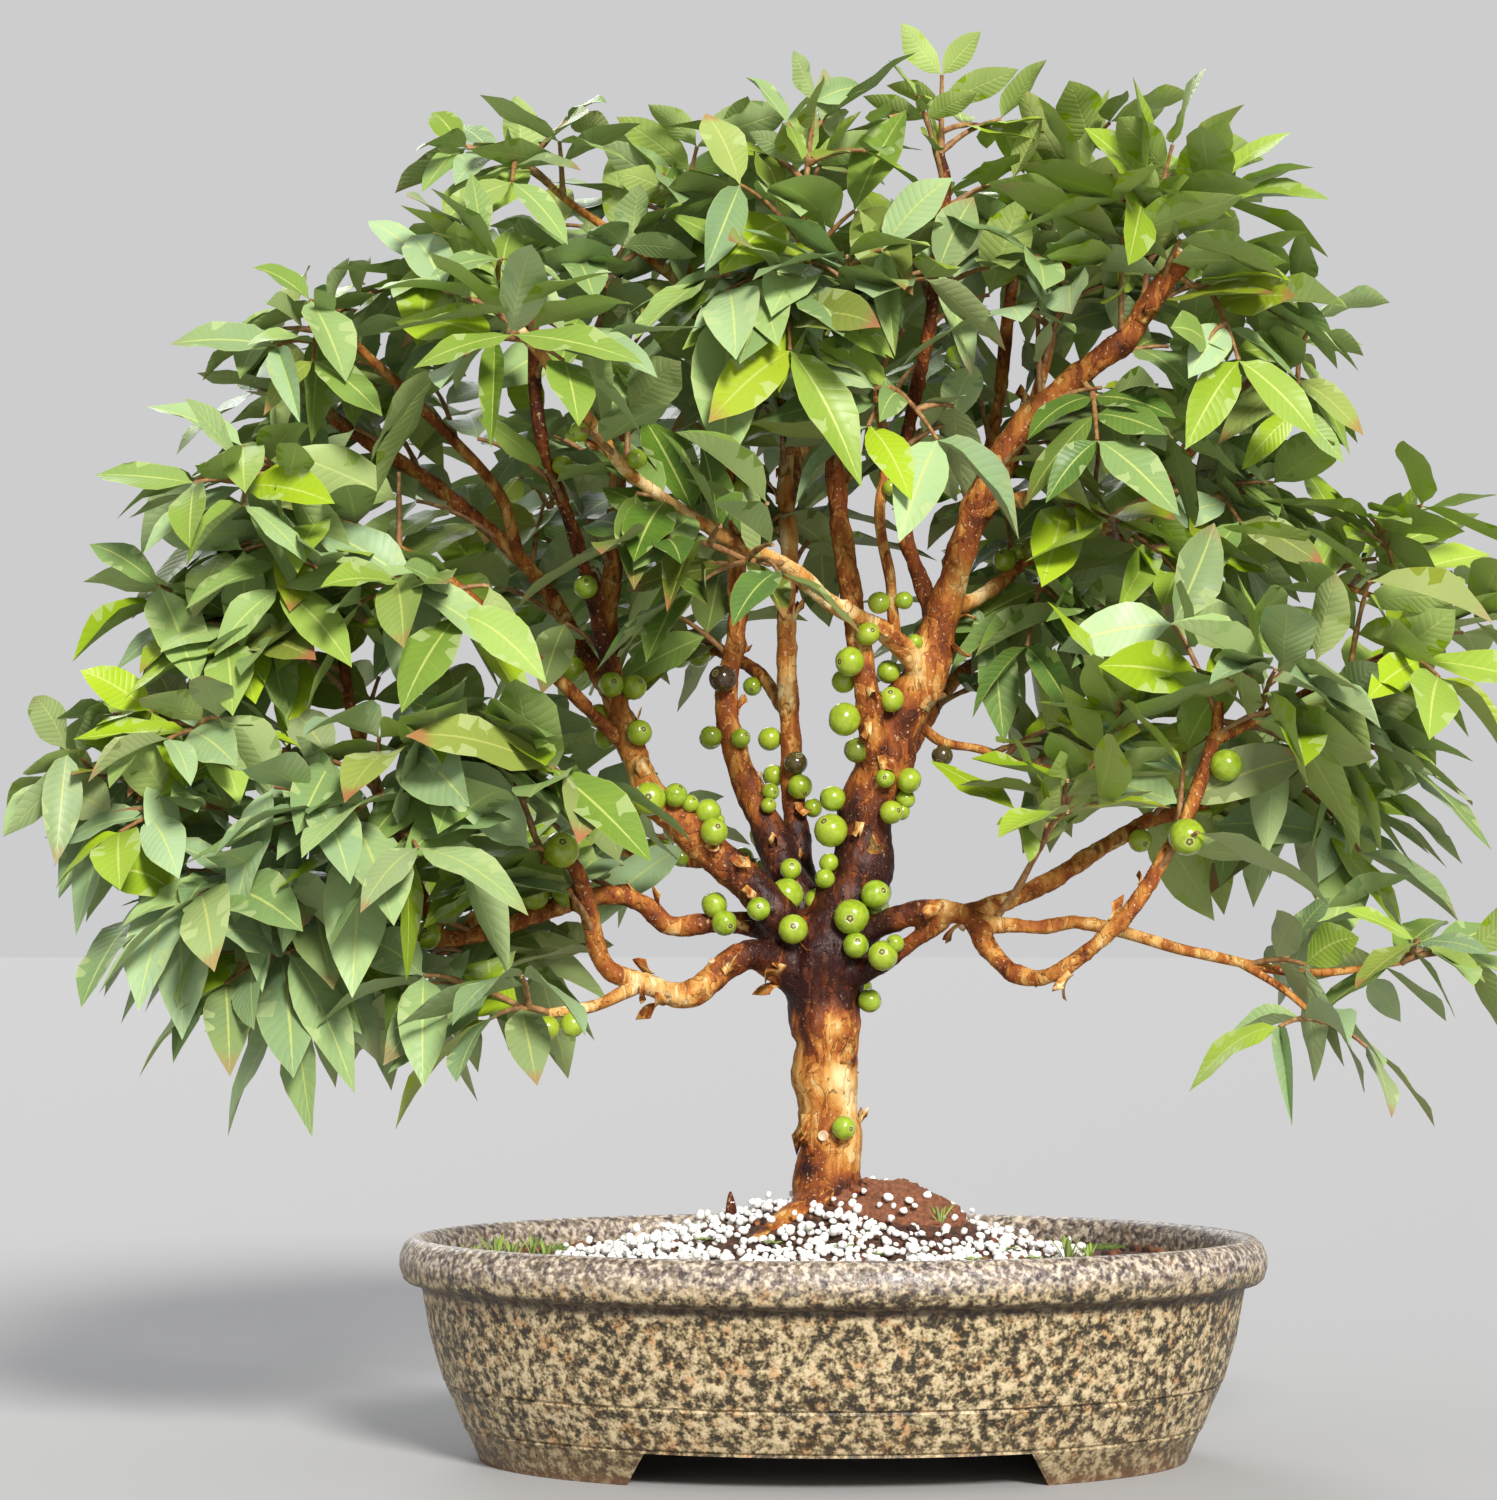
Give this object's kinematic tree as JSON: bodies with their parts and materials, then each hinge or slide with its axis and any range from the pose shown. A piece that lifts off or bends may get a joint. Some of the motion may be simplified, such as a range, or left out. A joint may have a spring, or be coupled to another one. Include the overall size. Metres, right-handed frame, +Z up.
{
  "type": "jaboticaba bonsai",
  "caption": "Bonsai tree with a spreading crown of glossy leaves and round green fruit on its bark, planted in a low oval speckled stoneware pot on a cut foot ring.",
  "frame": {"origin": "centre of the bounding box, on the surface that the pot stands on", "axes": "+Z up, +X to the right seen from the front, the front of the tree towards -Y"},
  "size_m": [0.7589, 0.4542, 0.712],
  "materials": {
    "stoneware": "mottled satin glaze, cream and tan with dark brown speckle",
    "soil": "dark reddish brown crumbly soil",
    "prills": "white matt granules",
    "bark": "smooth orange brown bark that peels in tan patches",
    "dry_stub": "dry dark brown",
    "weed": "thin pale green blades",
    "fruit": "glossy unripe green skin",
    "young_leaf": "fresh yellow green, satin",
    "green_leaf": "mid green, satin, with a pale midrib",
    "mature_leaf": "blue grey green, dull",
    "dark_leaf": "deep green, satin"
  },
  "bodies": {
    "root": {"pot": "stoneware", "soil": "soil", "prill_layer": "prills", "trunk_and_branches": "bark", "soil_stub": "dry_stub", "weed_tuft": "weed", "fruit_bunch_01": "fruit", "fruit_bunch_02": "fruit", "fruit_bunch_03": "fruit", "fruit_bunch_04": "fruit", "fruit_bunch_05": "fruit", "fruit_bunch_06": "fruit", "fruit_bunch_07": "fruit", "spray_01": "young_leaf", "spray_02": "green_leaf", "spray_03": "young_leaf", "spray_04": "young_leaf", "spray_05": "green_leaf", "spray_06": "green_leaf", "spray_07": "green_leaf", "spray_08": "young_leaf", "spray_09": "young_leaf", "spray_10": "green_leaf", "spray_11": "green_leaf", "spray_12": "mature_leaf", "spray_13": "green_leaf", "spray_14": "young_leaf", "spray_15": "dark_leaf", "spray_16": "young_leaf", "spray_17": "mature_leaf", "spray_18": "dark_leaf", "spray_19": "green_leaf", "spray_20": "mature_leaf", "spray_21": "green_leaf", "spray_22": "mature_leaf", "spray_23": "green_leaf", "spray_24": "green_leaf", "spray_25": "green_leaf", "spray_26": "mature_leaf", "spray_27": "green_leaf", "spray_28": "green_leaf", "spray_29": "green_leaf", "spray_30": "green_leaf", "spray_31": "green_leaf", "spray_32": "green_leaf", "spray_33": "green_leaf", "spray_34": "green_leaf", "spray_35": "mature_leaf", "spray_36": "mature_leaf", "spray_37": "mature_leaf", "spray_38": "mature_leaf", "spray_39": "green_leaf", "spray_40": "mature_leaf", "spray_41": "dark_leaf", "spray_42": "green_leaf", "spray_43": "dark_leaf", "spray_44": "green_leaf", "spray_45": "green_leaf", "spray_46": "green_leaf", "spray_47": "mature_leaf"}
  },
  "joints": []
}
